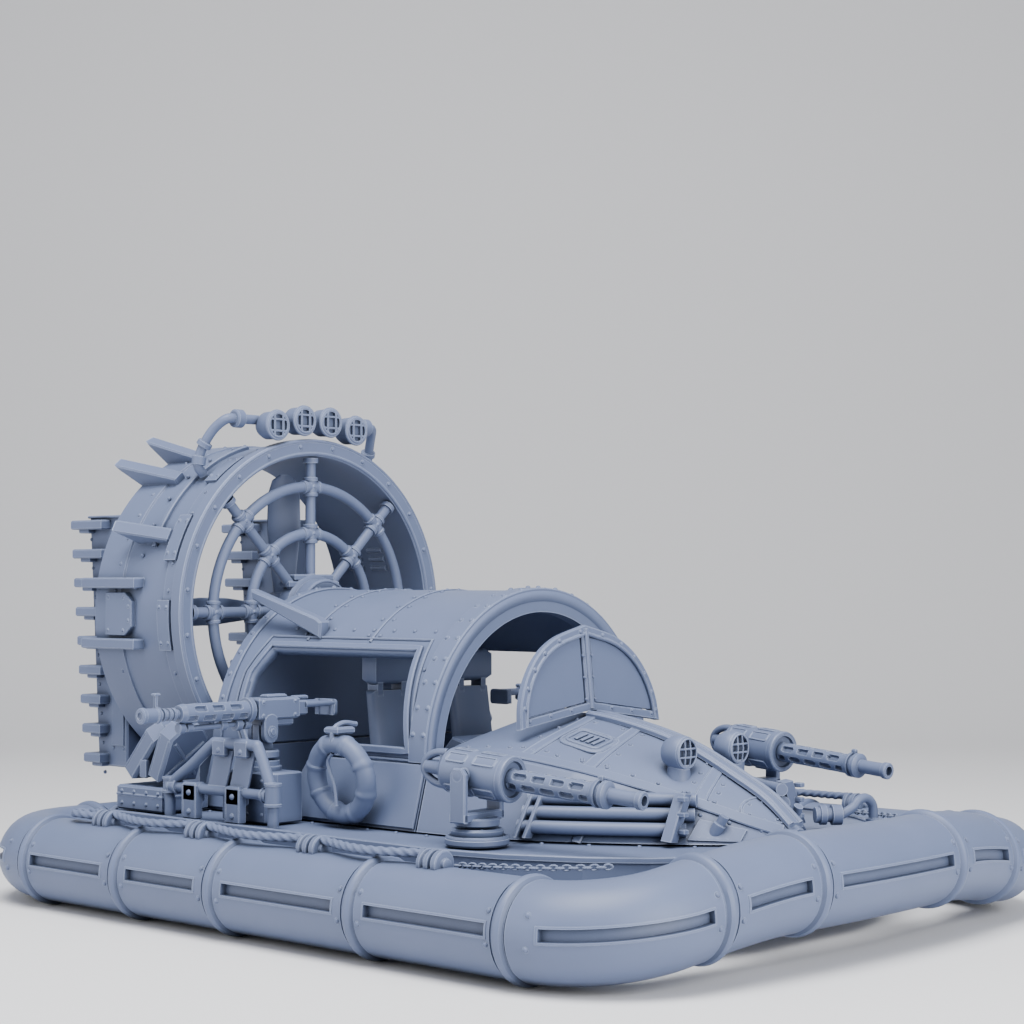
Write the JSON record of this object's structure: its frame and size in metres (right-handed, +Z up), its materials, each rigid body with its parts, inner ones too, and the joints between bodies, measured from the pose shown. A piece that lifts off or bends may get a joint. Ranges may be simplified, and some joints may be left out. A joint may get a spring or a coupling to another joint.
{
  "type": "tabletop miniature hovercraft",
  "caption": "Tabletop miniature of an armed hovercraft: round air skirt, arched cab, ducted fan with guard and rudders, and turning guns.",
  "frame": {"origin": "middle of the model's outline seen from above, on the surface it stands on", "axes": "+X towards the bow, +Y to port, +Z up"},
  "size_m": [0.1592, 0.116, 0.0823],
  "materials": {
    "resin": "matte blue-grey cast resin"
  },
  "bodies": {
    "craft": {"skirt_starboard": "resin", "skirt_port": "resin", "skirt_bow": "resin", "skirt_stern": "resin", "deck": "resin", "bonnet": "resin", "cab_tub": "resin", "canopy": "resin", "rear_bulkhead": "resin", "windscreen_frame": "resin", "windscreen_pane_starboard": "resin", "windscreen_pane_port": "resin", "seat_starboard": "resin", "seat_port": "resin", "instrument_panel": "resin", "headlamp_starboard": "resin", "headlamp_port": "resin", "side_pipes_starboard": "resin", "side_pipes_port": "resin", "duct": "resin", "duct_guard": "resin", "rudder_starboard": "resin", "rudder_port": "resin", "lamp_bar": "resin", "life_ring_starboard": "resin", "life_ring_port": "resin", "gun_frame_starboard": "resin", "gun_frame_port": "resin", "side_gun_base_starboard": "resin", "side_gun_base_port": "resin", "front_gun_base_starboard": "resin", "front_gun_base_port": "resin", "deck_box_starboard": "resin", "deck_box_port": "resin", "fuel_cans_starboard": "resin", "fuel_cans_port": "resin", "rope_reels_starboard": "resin", "rope_reels_port": "resin", "bow_hose": "resin"},
    "propeller": {"propeller": "resin"},
    "front_yoke_starboard": {"front_gun_yoke_starboard": "resin"},
    "front_gun_starboard": {"front_gun_starboard": "resin"},
    "side_yoke_starboard": {"side_gun_yoke_starboard": "resin"},
    "side_gun_starboard": {"side_gun_starboard": "resin"},
    "front_yoke_port": {"front_gun_yoke_port": "resin"},
    "front_gun_port": {"front_gun_port": "resin"},
    "side_yoke_port": {"side_gun_yoke_port": "resin"},
    "side_gun_port": {"side_gun_port": "resin"}
  },
  "joints": [
    {"name": "propeller_spin", "type": "hinge", "parent": "craft", "child": "propeller", "pos_m": [-0.04915, 0, 0.0463], "axis": [1, 0, 0], "continuous": true},
    {"name": "front_traverse_starboard", "type": "hinge", "parent": "craft", "child": "front_yoke_starboard", "pos_m": [0.03035, -0.0333, 0.0243], "axis": [0, 0, 1], "range_deg": [-35, 20]},
    {"name": "front_elevation_starboard", "type": "hinge", "parent": "front_yoke_starboard", "child": "front_gun_starboard", "pos_m": [0.03035, -0.0333, 0.0243], "axis": [0.1149, -0.9934, 0], "range_deg": [-4, 25]},
    {"name": "side_traverse_starboard", "type": "hinge", "parent": "craft", "child": "side_yoke_starboard", "pos_m": [-0.01516, -0.034, 0.0282], "axis": [0, 0, 1], "range_deg": [-20, 20]},
    {"name": "side_elevation_starboard", "type": "hinge", "parent": "side_yoke_starboard", "child": "side_gun_starboard", "pos_m": [-0.01516, -0.034, 0.0282], "axis": [-1, 0, 0], "range_deg": [-4, 8]},
    {"name": "front_traverse_port", "type": "hinge", "parent": "craft", "child": "front_yoke_port", "pos_m": [0.03035, 0.0333, 0.0243], "axis": [0, 0, 1], "range_deg": [-20, 35]},
    {"name": "front_elevation_port", "type": "hinge", "parent": "front_yoke_port", "child": "front_gun_port", "pos_m": [0.03035, 0.0333, 0.0243], "axis": [-0.1149, -0.9934, 0], "range_deg": [-4, 25]},
    {"name": "side_traverse_port", "type": "hinge", "parent": "craft", "child": "side_yoke_port", "pos_m": [-0.01516, 0.034, 0.0282], "axis": [0, 0, 1], "range_deg": [-20, 20]},
    {"name": "side_elevation_port", "type": "hinge", "parent": "side_yoke_port", "child": "side_gun_port", "pos_m": [-0.01516, 0.034, 0.0282], "axis": [1, 0, 0], "range_deg": [-4, 8]}
  ]
}
